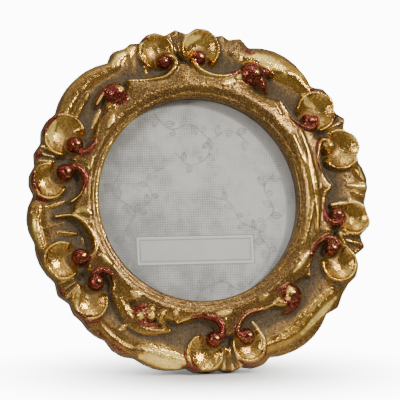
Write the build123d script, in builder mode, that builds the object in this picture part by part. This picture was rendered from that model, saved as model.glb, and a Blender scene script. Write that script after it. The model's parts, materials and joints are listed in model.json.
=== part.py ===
from build123d import *
from math import ceil, cos, radians, sin, sqrt
import os

os.makedirs("parts", exist_ok=True)

# Lengths are in millimetres and angles in degrees.
# The frame stands on Z 0 with its front towards -Y, leaning back on its easel strut.
# A clock angle goes round the face from the top, clockwise as seen from the front.

# Stand
lean = 13.0
strut_slope = 20.0

# Sight opening and the stack behind it
sight_radius = 50.0
rebate_radius = 54.0
stack_clearance = 0.5
glass_thickness = 2.0
print_thickness = 0.3
filler_thickness = 1.4
board_thickness = 3.0

# Carved casting: outline and section, with heights taken from the flat back
outline_radius = 88.0
lobe_facet_angle = 4.4
rim_height = 7.0
shoulder_radius = 80.0
field_radius = 61.4
field_height = 8.8
band_outer_radius = 57.0
band_outer_height = 13.4
band_inner_radius = 51.6
band_height = 14.4
lip_height = 12.2
foot_patch = 5.0

# Shells: each has two scrolls with eyes, two hollow cups and a fan of ribs between them
eye_radius = 68.0
eye_ball_radius = 3.6
eye_draft_inset = 1.5
eye_draft_drop = 7.4
eye_height = 15.8
eye_facets = 8
scroll_height = 13.6
scroll_draft_inset = 1.0
scroll_draft_drop = 5.8
coil_radius = 8.6
coil_width = 3.5
stem_tip_width = 2.6
stem_tip_lift = 3.0
cup_centre_radius = 76.6
cup_radius = 8.5
cup_wall = 1.3
cup_rise = 2.8
cup_depth = 3.2
cup_floor_inset = 2.4
cup_facets = 8
cup_root = 3.5
rib_rise = 1.6
rib_sink = 3.0
fan_rib_width = 3.4

# Turn buttons and screws on the back
button_pivot_inset = 7.5
button_thickness = 1.0
button_length = 17.8
button_width = 8.0
button_pivot_end = 4.2
button_corner = 2.4
screw_radius = 1.4
screw_depth = 6.0
screw_head_radius = 3.0
screw_head_height = 1.5
running_gap = 0.2
running_fit = 0.07

# Easel hinge and strut
hinge_rise = 22.0
prong_width = 2.4
prong_setover = 8.0
hinge_width = 24.0
hinge_leaf_height = 13.0
hinge_sheet = 0.8
knuckle_radius = 2.0
knuckle_gap = 0.3
strut_knuckle_width = 11.7
pin_radius = 1.0
pin_setback = 2.4
stop_tab_width = 8.0
stop_tab_length = 6.5
stop_gap = 0.3
strut_thickness = 3.0
strut_top_width = 24.0
strut_foot_width = 40.0
strut_leaf_length = 17.0
strut_arch_radius = 13.0
strut_arch_rise = 7.0
strut_corner_radius = 3.0
strut_prong_setover = 3.6

# Hanging ring at the top of the back
hanger_screw_inset = 4.2
hanger_strap_width = 8.0
hanger_strap_length = 13.0
hanger_sheet = 0.8
ring_wire = 1.4
ring_width = 14.0
ring_drop = 10.5

# One overrun serves every cut that passes through
overrun = 2.0

# Lobes of the outline: clock of the notch, its share of the outline radius,
# then clock of the crown after it and its share
lobe_shares = [
    (352.0, 0.943, 356.0, 0.970),
    (359.5, 0.939, 5.0, 0.980),
    (9.5, 0.942, 12.0, 0.958),
    (14.5, 0.939, 17.0, 0.964),
    (22.0, 0.930, 36.0, 0.985),
    (47.5, 0.940, 54.0, 0.999),
    (59.0, 0.950, 63.0, 0.992),
    (66.5, 0.947, 71.5, 1.005),
    (76.5, 0.958, 84.5, 0.999),
    (90.5, 0.973, 92.2, 0.983),
    (94.3, 0.970, 97.7, 1.005),
    (103.0, 0.955, 106.5, 0.995),
    (110.0, 0.951, 116.0, 1.000),
    (119.7, 0.978, 122.0, 0.993),
    (124.0, 0.976, 127.0, 0.994),
    (132.5, 0.965, 142.0, 1.000),
    (157.0, 0.957, 161.5, 0.984),
    (167.0, 0.951, 171.0, 0.975),
    (175.3, 0.947, 180.2, 0.966),
    (186.3, 0.932, 196.5, 0.964),
    (204.5, 0.949, 209.0, 0.968),
    (216.0, 0.940, 221.5, 0.952),
    (226.0, 0.940, 229.5, 0.946),
    (233.3, 0.924, 237.5, 0.949),
    (242.0, 0.923, 249.5, 0.954),
    (257.0, 0.942, 263.5, 0.961),
    (273.3, 0.914, 279.0, 0.947),
    (283.5, 0.924, 286.8, 0.944),
    (291.7, 0.924, 297.5, 0.948),
    (303.2, 0.919, 314.0, 0.953),
    (329.5, 0.908, 334.0, 0.952),
    (337.0, 0.938, 339.5, 0.952),
    (342.5, 0.932, 347.5, 0.973),
]
foot_share = 0.952

# Six shells: clock of the axis, half the angle between its two eyes,
# share of the eye radius, and the two stem angles (counterclockwise side first)
shell_shares = [
    (355.5, 7.4, 1.015, 17.0, 20.0),
    (63.0, 6.5, 1.018, 14.0, 16.0),
    (105.0, 7.2, 1.014, 10.5, 14.0),
    (171.0, 7.2, 1.012, 20.0, 13.0),
    (239.5, 6.6, 0.972, 17.0, 18.0),
    (288.5, 6.7, 0.974, 14.0, 12.5),
]
cup_lean_share = 1.32
fan_rib_turns = (-3.2, 0.0, 3.2)

# Leaf curls: clock of the eye, its share of the eye radius, side, stem angle,
# and the angle that the curl is turned by
curl_shares = [
    (325.5, 0.965, -1, 10.0, 180.0),
    (29.0, 0.975, -1, 6.0, -90.0),
    (137.5, 0.980, -1, 5.0, 0.0),
    (207.5, 0.950, -1, 5.0, 0.0),
]
curl_scale_share = 0.86

# Leaf ribs between the shells: clocks of the inner and outer end, the shares of the
# outline radius there, and the share of the fan rib's width
leaf_rib_shares = [
    (313.0, 0.84, 306.0, 0.93, 1.3),
    (327.0, 0.86, 328.0, 0.93, 1.2),
    (21.0, 0.84, 20.0, 0.93, 1.1),
    (39.0, 0.84, 38.0, 0.97, 1.3),
    (44.0, 0.82, 45.5, 0.93, 1.1),
    (81.0, 0.86, 80.5, 0.98, 1.2),
    (88.0, 0.86, 88.5, 0.97, 1.1),
    (129.0, 0.84, 126.0, 0.97, 1.2),
    (144.0, 0.88, 141.0, 0.98, 1.3),
    (190.0, 0.84, 190.5, 0.93, 1.2),
    (213.0, 0.84, 212.0, 0.92, 1.1),
    (260.0, 0.82, 261.0, 0.93, 1.3),
    (266.5, 0.82, 267.5, 0.92, 1.2),
]

# A coil turns round its eye in three arcs: share of the coil radius for the outer
# edge, share of the inner edge's first radius, and the angle that each arc turns
coil_arc_shares = [(1.0, 1.0, 90.0), (0.79, 0.74, 90.0), (0.62, 0.46, 76.0)]
coil_outer_facets = (3, 2, 2)
coil_inner_facets = (2, 1, 1)

# Derived places
rebate_depth = board_thickness + filler_thickness + print_thickness + glass_thickness
foot_radius = outline_radius * foot_share
opening_rise = foot_radius * cos(radians(lean))
opening_setback = foot_radius * sin(radians(lean)) + foot_patch / 2 / cos(radians(lean))

# The face plane is the flat back of the casting, looking out through the front
face = Plane(
    origin=(0, opening_setback, opening_rise),
    x_dir=(1, 0, 0),
    z_dir=(0, -cos(radians(lean)), sin(radians(lean))),
)
face_axis = Axis(face.origin, face.z_dir)
section = Plane(origin=face.origin, x_dir=face.x_dir, z_dir=-face.y_dir)


def polar(clock, radius):
    return radius * sin(radians(clock)), radius * cos(radians(clock))


def place(clock, radius, height):
    x, y = polar(clock, radius)
    return face.from_local_coords((x, y, height))


def upright(clock, radius, height):
    # A plane parallel to the face at a point of the casting
    return Plane(origin=place(clock, radius, height), x_dir=face.x_dir, z_dir=face.z_dir)


def scroll(clock, radius, side, stem_angle, turn, scale):
    # A chiselled band that follows the ring, widens, and coils round its eye. Side 1 runs
    # clockwise along the ring and curls outwards, side -1 is its mirror image.
    heading_angle = radians(turn * side - clock)
    run = face.x_dir * cos(heading_angle) + face.y_dir * sin(heading_angle)
    bed = Plane(origin=place(clock, radius, rebate_depth), x_dir=run, z_dir=face.z_dir)
    edges = []
    outer_radius = coil_radius * scale
    inner_radius = (coil_radius - coil_width) * scale
    edge_rows = ((outer_radius, 0, coil_outer_facets), (inner_radius, 1, coil_inner_facets))
    for edge_radius, column, facets in edge_rows:
        spot = (0, -edge_radius)
        heading = (1, 0)
        edge = [spot]
        for shares, count in zip(coil_arc_shares, facets):
            arc = JernArc(spot, heading, edge_radius * shares[column], shares[2], mode=Mode.PRIVATE)
            edge += [arc @ (step / count) for step in range(1, count + 1)]
            spot = arc @ 1
            heading = arc % 1
        edges.append(edge)
    stem = []
    stem_rise = stem_tip_lift * scale
    stem_widths = (coil_width * scale, stem_tip_width * scale)
    for share in (0.5, 1.0):
        inner = radius - outer_radius + stem_rise * share**2
        outer = inner + stem_widths[0] + (stem_widths[1] - stem_widths[0]) * share
        for ring in (inner, outer):
            x, y = polar(-stem_angle * share, ring)
            stem.append((x, y - radius))
    outline = [stem[2], stem[0], *edges[0], *reversed(edges[1]), stem[1], stem[3]]
    with BuildPart() as piece:
        with BuildSketch():
            with BuildLine():
                Polyline(*outline, close=True)
            make_face()
        extrude(amount=scroll_height - rebate_depth)
        top = piece.faces().sort_by(Axis.Z)[-1]
        chamfer(top.edges(), scroll_draft_inset * scale, scroll_draft_drop, reference=top)
        if side < 0:
            mirror(about=Plane.YZ, mode=Mode.REPLACE)
    return bed.location * piece.part


def eye(clock, radius):
    # The faceted ball at the middle of a scroll
    with BuildPart() as piece:
        with BuildSketch():
            RegularPolygon(eye_ball_radius, eye_facets)
        extrude(amount=eye_height - rebate_depth)
        top = piece.faces().sort_by(Axis.Z)[-1]
        chamfer(top.edges(), eye_draft_inset, eye_draft_drop, reference=top)
    return upright(clock, radius, rebate_depth).location * piece.part


def cup_wall_block(clock, radius, top):
    # The many-sided wall that stands round a cup
    with BuildPart() as piece:
        with BuildSketch(upright(clock, radius, cup_root)):
            RegularPolygon(cup_radius, cup_facets, rotation=-clock)
        extrude(amount=top - cup_root)
    return piece.part


def cup_hollow(clock, radius, top):
    # The scooped hollow inside a cup's wall, narrower at its floor
    with BuildPart() as piece:
        with BuildSketch():
            RegularPolygon(cup_radius - cup_wall, cup_facets, rotation=-clock)
        extrude(amount=cup_depth * 2)
        floor = piece.faces().sort_by(Axis.Z)[0]
        chamfer(floor.edges(), cup_floor_inset, cup_depth, reference=floor)
    return upright(clock, radius, top - cup_depth).location * piece.part


def rib(start, end, width):
    # A ridge with a sharp crest between two points of the surface
    along = (end - start).normalized()
    across = face.z_dir.cross(along).normalized()
    half_width = width / 2
    with BuildPart() as piece:
        with BuildSketch(Plane(origin=start, x_dir=across, z_dir=along)):
            with BuildLine():
                Polyline(
                    (-half_width, -rib_sink),
                    (half_width, -rib_sink),
                    (half_width, 0),
                    (0, rib_rise),
                    (-half_width, 0),
                    close=True,
                )
            make_face()
        extrude(amount=(end - start).length)
    return piece.part


def slope_height(radius):
    # Height of the casting's surface on the level field and on the slope to the rim
    share = max(radius - shoulder_radius, 0) / (outline_radius - shoulder_radius)
    return field_height + (rim_height - field_height) * share


# The carving is kept as loose solids until the casting takes it in: the cups' walls and the
# ribs first, then the cups are hollowed, then the scrolls and eyes lie over them
walls_and_ribs = []
cup_hollows = []
scrolls_and_eyes = []
for axis_clock, half_angle, eye_share, stem_before, stem_after in shell_shares:
    radius = eye_radius * eye_share
    cup_ring = cup_centre_radius * eye_share
    cup_top = field_height + cup_rise
    for side, stem_angle in ((1, stem_before), (-1, stem_after)):
        eye_clock = axis_clock - side * half_angle
        cup_clock = axis_clock - side * half_angle * cup_lean_share
        scrolls_and_eyes.append(scroll(eye_clock, radius, side, stem_angle, 0, 1))
        scrolls_and_eyes.append(eye(eye_clock, radius))
        walls_and_ribs.append(cup_wall_block(cup_clock, cup_ring, cup_top))
        cup_hollows.append(cup_hollow(cup_clock, cup_ring, cup_top))
    for turn in fan_rib_turns:
        start = place(axis_clock + turn / 2, radius + eye_ball_radius, field_height)
        end = place(axis_clock + turn, outline_radius * eye_share, rim_height)
        walls_and_ribs.append(rib(start, end, fan_rib_width))
for clock, radius_share, side, stem_angle, turn in curl_shares:
    radius = eye_radius * radius_share
    scrolls_and_eyes.append(scroll(clock, radius, side, stem_angle, turn, curl_scale_share))
    scrolls_and_eyes.append(eye(clock, radius))
for inner_clock, inner_share, outer_clock, outer_share, width_share in leaf_rib_shares:
    start_radius = outline_radius * inner_share
    end_radius = outline_radius * outer_share
    start = place(inner_clock, start_radius, slope_height(start_radius))
    end = place(outer_clock, end_radius, slope_height(end_radius))
    walls_and_ribs.append(rib(start, end, fan_rib_width * width_share))

button_clocks = (45.0, 135.0, 225.0, 315.0)
button_pivot_radius = rebate_radius + button_pivot_inset
hanger_screw_radius = rebate_radius + hanger_screw_inset
hanger_radius = hanger_screw_radius + hanger_strap_length - screw_head_radius - running_gap

# Points of the lobed outline: each lobe is an arc, cut into flats
full_turn = 360.0
outline_points = []
for row, following in zip(lobe_shares, lobe_shares[1:] + lobe_shares[:1]):
    lobe = ThreePointArc(
        polar(row[0], outline_radius * row[1]),
        polar(row[2], outline_radius * row[3]),
        polar(following[0], outline_radius * following[1]),
    )
    lobe_angle = (following[0] - row[0]) % full_turn
    facets = ceil(lobe_angle / lobe_facet_angle)
    outline_points += [lobe @ (step / facets) for step in range(facets)]

# Carved casting with its rebate
with BuildPart() as frame_casting:
    with BuildSketch(section):
        with BuildLine():
            Polyline(
                (sight_radius, lip_height),
                (sight_radius, rebate_depth),
                (rebate_radius, rebate_depth),
                (rebate_radius, 0),
                (outline_radius + overrun, 0),
                (outline_radius + overrun, rim_height),
                (shoulder_radius, field_height),
                (field_radius, field_height),
                (band_outer_radius, band_outer_height),
                (band_inner_radius, band_height),
                close=True,
            )
        make_face()
    revolve(axis=face_axis)
    add(walls_and_ribs)
    add(cup_hollows, mode=Mode.SUBTRACT)
    add(scrolls_and_eyes)
    with BuildSketch(face):
        with BuildLine():
            Polyline(*outline_points, close=True)
        make_face()
    extrude(amount=eye_height + overrun, mode=Mode.INTERSECT)
    split(bisect_by=Plane.XY, keep=Keep.TOP)
    with BuildSketch(face):
        with Locations(*[polar(clock, button_pivot_radius) for clock in button_clocks]):
            Circle(screw_radius)
        with Locations((0, hanger_screw_radius)):
            Circle(screw_radius)
    extrude(amount=screw_depth, mode=Mode.SUBTRACT)
frame_casting.part.label = "frame_casting"
export_step(frame_casting.part, "parts/frame_casting.step")

# The stack in the rebate, from the back: board, filler, print, glass
stack_radius = rebate_radius - stack_clearance
print_height = board_thickness + filler_thickness
glass_height = print_height + print_thickness
prong_rise = hinge_rise + hinge_leaf_height - hinge_sheet / 2
prong_spots = [(-prong_setover, prong_rise), (prong_setover, prong_rise)]

with BuildPart() as back_board:
    with BuildSketch(face):
        Circle(stack_radius)
        with Locations(*prong_spots):
            Rectangle(prong_width, hinge_sheet, mode=Mode.SUBTRACT)
    extrude(amount=board_thickness)
back_board.part.label = "back_board"
export_step(back_board.part, "parts/back_board.step")

with BuildPart() as filler_card:
    with BuildSketch(face.offset(board_thickness)):
        Circle(stack_radius)
    extrude(amount=filler_thickness)
filler_card.part.label = "filler_card"
export_step(filler_card.part, "parts/filler_card.step")

with BuildPart() as photo_print:
    with BuildSketch(face.offset(print_height)):
        Circle(stack_radius)
    extrude(amount=print_thickness)
photo_print.part.label = "photo_print"
export_step(photo_print.part, "parts/photo_print.step")

with BuildPart() as glass:
    with BuildSketch(face.offset(glass_height)):
        Circle(stack_radius)
    extrude(amount=glass_thickness)
glass.part.label = "glass"
export_step(glass.part, "parts/glass.step")

# Turn buttons: each swings on its own screw and its narrow end holds the board
for number, clock in enumerate(button_clocks, start=1):
    inward = (face.origin - place(clock, button_pivot_radius, 0)).normalized()
    button_bed = Plane(
        origin=place(clock, button_pivot_radius, -running_gap),
        x_dir=inward,
        z_dir=-face.z_dir,
    )
    with BuildPart() as turn_button:
        with BuildSketch(button_bed) as button_outline:
            with Locations((button_length / 2 - button_pivot_end, 0)):
                Rectangle(button_length, button_width)
            chamfer(button_outline.vertices(), button_corner)
            Circle(screw_radius + running_fit, mode=Mode.SUBTRACT)
        extrude(amount=button_thickness)
    turn_button.part.label = f"turn_button_{number}"
    export_step(turn_button.part, f"parts/turn_button_{number}.step")


def screw(clock, radius, head_seat):
    # A flat-headed screw driven into the casting's back
    centre = place(clock, radius, 0)
    with BuildPart() as piece:
        with BuildSketch(Plane(origin=centre, x_dir=face.x_dir, z_dir=face.y_dir)):
            with BuildLine():
                Polyline(
                    (0, -screw_depth),
                    (screw_radius, -screw_depth),
                    (screw_radius, head_seat),
                    (screw_head_radius, head_seat),
                    (screw_head_radius, head_seat + screw_head_height),
                    (0, head_seat + screw_head_height),
                    close=True,
                )
            make_face()
        revolve(axis=Axis(centre, face.z_dir))
    return piece.part


button_head_seat = button_thickness + running_gap * 2
with BuildPart() as turn_button_screws:
    add([screw(clock, button_pivot_radius, button_head_seat) for clock in button_clocks])
turn_button_screws.part.label = "turn_button_screws"
export_step(turn_button_screws.part, "parts/turn_button_screws.step")

# Easel hinge: the pin runs across the back, just behind the board
pin_centre = face.from_local_coords((0, hinge_rise, -pin_setback))
pin_line = Plane(origin=pin_centre, x_dir=face.y_dir, z_dir=face.x_dir)
strut_up = Vector(0, -sin(radians(strut_slope)), cos(radians(strut_slope)))
strut_plane = Plane(origin=pin_centre, x_dir=face.x_dir, z_dir=face.x_dir.cross(strut_up))
tab_sheet_height = hinge_sheet + stop_gap


def knuckle(start, end, bore):
    # One curl of the hinge round the pin, between two places across the back
    with BuildPart() as piece:
        with BuildSketch(pin_line.offset(start)):
            Circle(knuckle_radius)
            Circle(bore, mode=Mode.SUBTRACT)
        extrude(amount=end - start)
    return piece.part


def bore_cutter(start, end, bore):
    with BuildPart() as piece:
        with BuildSketch(pin_line.offset(start)):
            Circle(bore)
        extrude(amount=end - start)
    return piece.part


outer_knuckle_start = strut_knuckle_width / 2 + knuckle_gap
hinge_slot_half = knuckle_radius + knuckle_gap
with BuildPart() as hinge_plate:
    with BuildSketch(face.offset(-hinge_sheet)):
        with Locations((0, hinge_rise + hinge_leaf_height / 2)):
            Rectangle(hinge_width, hinge_leaf_height)
        with Locations((0, hinge_rise)):
            Rectangle(outer_knuckle_start * 2, hinge_slot_half * 2, mode=Mode.SUBTRACT)
    extrude(amount=hinge_sheet)
    with BuildSketch(face):
        with Locations(*prong_spots):
            Rectangle(prong_width, hinge_sheet)
    extrude(amount=board_thickness)
    add(knuckle(-hinge_width / 2, -outer_knuckle_start, pin_radius))
    add(knuckle(outer_knuckle_start, hinge_width / 2, pin_radius))
    add(bore_cutter(-hinge_width, hinge_width, pin_radius), mode=Mode.SUBTRACT)
hinge_plate.part.label = "hinge_plate"
export_step(hinge_plate.part, "parts/hinge_plate.step")

with BuildPart() as hinge_pin:
    with BuildSketch(pin_line.offset(-hinge_width / 2)):
        Circle(pin_radius)
    extrude(amount=hinge_width)
hinge_pin.part.label = "hinge_pin"
export_step(hinge_pin.part, "parts/hinge_pin.step")


# The strut leaf curls round the pin, lies on the strut's back and carries a stop tab
strut_back = -(knuckle_radius - hinge_sheet)
strut_top = -(knuckle_radius + knuckle_gap)
strut_prong_spots = [
    (-strut_prong_setover, hinge_sheet / 2 - strut_leaf_length),
    (strut_prong_setover, hinge_sheet / 2 - strut_leaf_length),
]
with BuildPart() as strut_leaf:
    add(knuckle(-strut_knuckle_width / 2, strut_knuckle_width / 2, pin_radius + running_fit))
    with BuildSketch(strut_plane.offset(strut_back - hinge_sheet)):
        with Locations((0, -strut_leaf_length / 2)):
            Rectangle(strut_knuckle_width, strut_leaf_length)
    extrude(amount=hinge_sheet)
    with BuildSketch(strut_plane.offset(strut_back)):
        with Locations(*strut_prong_spots):
            Rectangle(prong_width, hinge_sheet)
    extrude(amount=strut_thickness)
    with BuildSketch(face.offset(-tab_sheet_height - hinge_sheet)):
        with Locations((0, hinge_rise + stop_tab_length / 2)):
            Rectangle(stop_tab_width, stop_tab_length)
    extrude(amount=hinge_sheet)
    pin_bore = pin_radius + running_fit
    add(bore_cutter(-strut_knuckle_width, strut_knuckle_width, pin_bore), mode=Mode.SUBTRACT)
strut_leaf.part.label = "strut_leaf"
export_step(strut_leaf.part, "parts/strut_leaf.step")

# The strut widens to two toes, with an arch between them, and its foot is cut level
strut_reach = pin_centre.Z / cos(radians(strut_slope)) + strut_thickness
with BuildPart() as easel_strut:
    with BuildSketch(strut_plane.offset(strut_back)) as strut_outline:
        with BuildLine():
            Polyline(
                (-strut_top_width / 2, strut_top),
                (strut_top_width / 2, strut_top),
                (strut_foot_width / 2, -strut_reach),
                (-strut_foot_width / 2, -strut_reach),
                (-strut_top_width / 2, strut_top),
            )
        make_face()
        fillet(strut_outline.vertices().group_by(Axis.Y)[-1], strut_corner_radius)
        with Locations((0, -strut_reach + strut_thickness + strut_arch_rise - strut_arch_radius)):
            Circle(strut_arch_radius, mode=Mode.SUBTRACT)
        with Locations(*strut_prong_spots):
            Rectangle(prong_width, hinge_sheet, mode=Mode.SUBTRACT)
    extrude(amount=strut_thickness)
    split(bisect_by=Plane.XY, keep=Keep.TOP)
easel_strut.part.label = "easel_strut"
export_step(easel_strut.part, "parts/easel_strut.step")

# Hanger: a folded strap screwed to the casting, with a wire ring that hangs from it
ring_bore_radius = ring_wire / sqrt(2) + running_fit
ring_loop_radius = ring_bore_radius + hanger_sheet
ring_centre = face.from_local_coords((0, hanger_radius, -ring_loop_radius))
ring_line = Plane(origin=ring_centre, x_dir=face.y_dir, z_dir=face.x_dir)
with BuildPart() as hanger_strap:
    with BuildSketch(face.offset(-hanger_sheet)):
        with Locations((0, hanger_radius - hanger_strap_length / 2)):
            Rectangle(hanger_strap_width, hanger_strap_length)
        with Locations((0, hanger_screw_radius)):
            Circle(screw_radius, mode=Mode.SUBTRACT)
    extrude(amount=hanger_sheet)
    with BuildSketch(ring_line.offset(-hanger_strap_width / 2)):
        Circle(ring_loop_radius)
    extrude(amount=hanger_strap_width)
    with BuildSketch(ring_line.offset(-hanger_strap_width)):
        Circle(ring_bore_radius)
    extrude(amount=hanger_strap_width * 2, mode=Mode.SUBTRACT)
hanger_strap.part.label = "hanger_strap"
export_step(hanger_strap.part, "parts/hanger_strap.step")

with BuildPart() as hanger_screw:
    add(screw(0, hanger_screw_radius, hanger_sheet))
hanger_screw.part.label = "hanger_screw"
export_step(hanger_screw.part, "parts/hanger_screw.step")

# The ring hangs plumb: a straight bar in the strap and a round bow below it
bow_radius = ring_width / 2
bow_centre = bow_radius - ring_drop
ring_outline_plane = Plane(origin=ring_centre + (0, ring_wire / 2, 0), x_dir=(1, 0, 0), z_dir=(0, -1, 0))
with BuildPart() as hanger_ring:
    for spread, mode in ((ring_wire / 2, Mode.ADD), (-ring_wire / 2, Mode.SUBTRACT)):
        half_width = bow_radius + spread
        with BuildSketch(ring_outline_plane):
            with BuildLine():
                Polyline(
                    (half_width, bow_centre),
                    (half_width, spread),
                    (-half_width, spread),
                    (-half_width, bow_centre),
                )
                ThreePointArc(
                    (-half_width, bow_centre),
                    (0, bow_centre - half_width),
                    (half_width, bow_centre),
                )
            make_face()
        extrude(amount=ring_wire, mode=mode)
hanger_ring.part.label = "hanger_ring"
export_step(hanger_ring.part, "parts/hanger_ring.step")

print("pin centre", [round(v, 2) for v in pin_centre], "ring centre", [round(v, 2) for v in ring_centre])
print("face origin", [round(v, 2) for v in face.origin], "rebate depth", round(rebate_depth, 2))
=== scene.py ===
import json
import math
import bpy
import numpy as np
from mathutils import Matrix, Vector


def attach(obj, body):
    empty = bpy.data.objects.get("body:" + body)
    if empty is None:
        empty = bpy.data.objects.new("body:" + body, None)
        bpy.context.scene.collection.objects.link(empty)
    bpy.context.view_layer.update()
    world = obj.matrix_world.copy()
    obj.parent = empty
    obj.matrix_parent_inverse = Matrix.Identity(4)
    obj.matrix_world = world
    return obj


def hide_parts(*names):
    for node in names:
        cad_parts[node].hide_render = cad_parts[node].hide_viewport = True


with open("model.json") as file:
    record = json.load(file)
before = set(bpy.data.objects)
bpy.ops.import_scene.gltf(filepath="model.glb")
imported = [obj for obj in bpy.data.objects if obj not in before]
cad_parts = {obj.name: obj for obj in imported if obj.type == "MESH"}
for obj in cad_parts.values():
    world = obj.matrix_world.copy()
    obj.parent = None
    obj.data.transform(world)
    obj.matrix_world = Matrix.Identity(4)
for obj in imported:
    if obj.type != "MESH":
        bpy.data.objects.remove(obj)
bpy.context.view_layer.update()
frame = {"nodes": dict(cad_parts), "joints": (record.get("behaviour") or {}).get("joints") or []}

mm = 0.001

# The face: the flat back of the surround, in the middle of its four button pivots
buttonJoints = [j for j in frame["joints"] if j["name"].startswith("turn_button")]
faceOrigin = sum((Vector(j["pos_m"]) for j in buttonJoints), Vector()) / len(buttonJoints)
faceNormal = Vector(buttonJoints[0]["axis"]).normalized()  # towards the viewer
faceRight = Vector((1, 0, 0))
faceUp = faceNormal.cross(faceRight)
faceTurn = Matrix((faceRight, faceUp, faceNormal)).transposed().to_4x4()
faceMatrix = Matrix.Translation(faceOrigin) @ faceTurn
lean = math.atan2(faceUp.y, faceUp.z)


def facePoint(x, up, height):  # millimetres on the face to metres in the frame
    return faceMatrix @ Vector((x * mm, up * mm, height * mm))


def faceCoordinates(nodeName):  # a CAD node's points across, up and out of the face, in metres
    mesh = frame["nodes"][nodeName].data
    flat = np.empty(len(mesh.vertices) * 3)
    mesh.vertices.foreach_get("co", flat)
    points = flat.reshape(-1, 3) - np.array(faceOrigin)
    return [points @ np.array(direction) for direction in (faceRight, faceUp, faceNormal)]


def deselectAll():
    bpy.ops.object.select_all(action="DESELECT")


def takeOnly(piece):
    deselectAll()
    piece.select_set(True)
    bpy.context.view_layer.objects.active = piece


def meshPiece(name, vertices, faces):
    mesh = bpy.data.meshes.new(name)
    mesh.from_pydata([tuple(v) for v in vertices], [], faces)
    mesh.update()
    piece = bpy.data.objects.new(name, mesh)
    bpy.context.scene.collection.objects.link(piece)
    return piece


def finish(piece, material, nodeName):
    piece.data.materials.append(material)
    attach(piece, "frame")
    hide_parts(nodeName)


# Materials

def newMaterial(name):
    material = bpy.data.materials.new(name)
    material.use_nodes = True
    shader = material.node_tree.nodes["Principled BSDF"]
    point = node(material.node_tree, "ShaderNodeTexCoord", {}).outputs["Object"]
    return material, shader, point


def plug(made, inputs):  # links an input to another node's output, or sets its value
    for name, value in inputs.items():
        socket = made.inputs[name]
        if isinstance(value, bpy.types.NodeSocket):
            made.id_data.links.new(value, socket)
        elif socket.type == "RGBA":
            socket.default_value = (*value, 1)
        else:
            socket.default_value = value


def node(tree, kind, inputs, **settings):
    made = tree.nodes.new(kind)
    for key, value in settings.items():
        setattr(made, key, value)
    plug(made, inputs)
    return made


def attribute(shader, name):
    return node(shader.id_data, "ShaderNodeAttribute", {}, attribute_name=name).outputs["Fac"]


def noise(point, scale, detail, roughness):
    inputs = {"Vector": point, "Scale": scale, "Detail": detail, "Roughness": roughness}
    return node(point.id_data, "ShaderNodeTexNoise", inputs).outputs["Fac"]


def ramp(factor, places, colours):
    made = node(factor.id_data, "ShaderNodeValToRGB", {"Fac": factor})
    elements = made.color_ramp.elements
    while len(elements) < len(places):
        elements.new(0.5)
    for element, place, colour in zip(elements, places, colours):
        element.position = place
        element.color = (*colour, 1)
    return made.outputs["Color"]


def grey(factor, low, high, fromLow=0.0, fromHigh=1.0, **settings):
    inputs = {"Value": factor, "From Min": fromLow, "From Max": fromHigh, "To Min": low, "To Max": high}
    return node(factor.id_data, "ShaderNodeMapRange", inputs, **settings).outputs["Result"]


def maths(operation, *values):
    tree = next(value.id_data for value in values if isinstance(value, bpy.types.NodeSocket))
    return node(tree, "ShaderNodeMath", dict(enumerate(values)), operation=operation).outputs["Value"]


def plus(first, second):
    return maths("ADD", first, second)


def times(first, second):
    return maths("MULTIPLY", first, second)


def swing(pattern, amount):  # a pattern's ups and downs about its middle
    return times(maths("SUBTRACT", pattern, 0.5), amount)


def weighted(patterns, weights):
    total, *others = map(times, patterns, weights)
    for other in others:
        total = plus(total, other)
    return total


def mixColour(factor, first, second):  # 0, 6, 7 and 2 are the colour sockets of a Mix node
    inputs = {0: factor, 6: first, 7: second}
    return node(factor.id_data, "ShaderNodeMix", inputs, data_type="RGBA").outputs[2]


def bump(shader, height, strength, distance):
    inputs = {"Height": height, "Strength": strength, "Distance": distance}
    plug(shader, {"Normal": node(shader.id_data, "ShaderNodeBump", inputs).outputs["Normal"]})


# Antique gilding: gold leaf over red bole and umber, worn, with dirt and painted shade in the hollows and
# painted highlights in cream gold
gilding = {
    "umber": (0.070, 0.031, 0.012),
    # colours of the grime in the hollows: dirt and painted shade together
    "hollowGrey": (0.100, 0.077, 0.054),
    "hollowDark": (0.046, 0.033, 0.021),
    "brownGold": (0.148, 0.072, 0.021),
    "leafGold": (0.49, 0.262, 0.050),
    # top of the gold ramp, also the colour of the painted highlights
    "creamGold": (1.0, 0.72, 0.20),
    "sheen": (1.0, 0.79, 0.44),        # tint of the dull shine
    "bole": (0.085, 0.002, 0.008),
    "boleLight": (0.27, 0.012, 0.032),
    # places of the colours on their ramps
    "goldStops": (0.0, 0.22, 0.60, 1.0),
    "grimeAndShadeStops": (0.34, 0.55),
    "boleStops": (0.45, 0.68),
    # patterns: scale, detail, roughness
    "patches": (110, 4, 0.6), "speckle": (900, 3, 0.75), "grains": (2300, 2, 0.6), "dents": (420, 3, 0.6),
    # how strongly each pattern tells
    "wearMix": (0.55, 0.45), "wear": 1.3, "boleWear": 0.5, "patchyDirt": 0.7, "pitCover": 0.75,
    "speckledShine": 0.5, "goldShine": 0.08,
    "dentMix": (0.55, 0.22, 0.08), "dentDepth": 0.5 * mm,
    # amounts: from the first value to the second, where the driver runs from the third to the fourth
    "dirtAndShade": (0, 1, 0.16, 0.58), "dirtAndShadeOnGrains": (1.0, 0.15, 0.60, 0.68),
    "boleCover": (0, 1, 0.36, 0.54), "pits": (0, 1, 0.56, 0.66),
    "flecks": (1, 0, 0.33, 0.42), "flecksInDirtAndShade": (0.65, 0.12),
    "metalInDirtAndShade": (1.0, 0.15), "metalInBole": (1.0, 0.8),
    "metalInBrown": (0.50, 1.0, 0.12, 0.55), "metalInCream": (1.0, 0.30, 0.72, 0.98),
    "roughness": (0.18, 0.70), "roughnessLimits": (0.10, 0.85, 0.10, 0.85),
    "specular": (0.5, 0.1), "coat": 0.05, "coatRoughness": 0.12,
}


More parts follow.
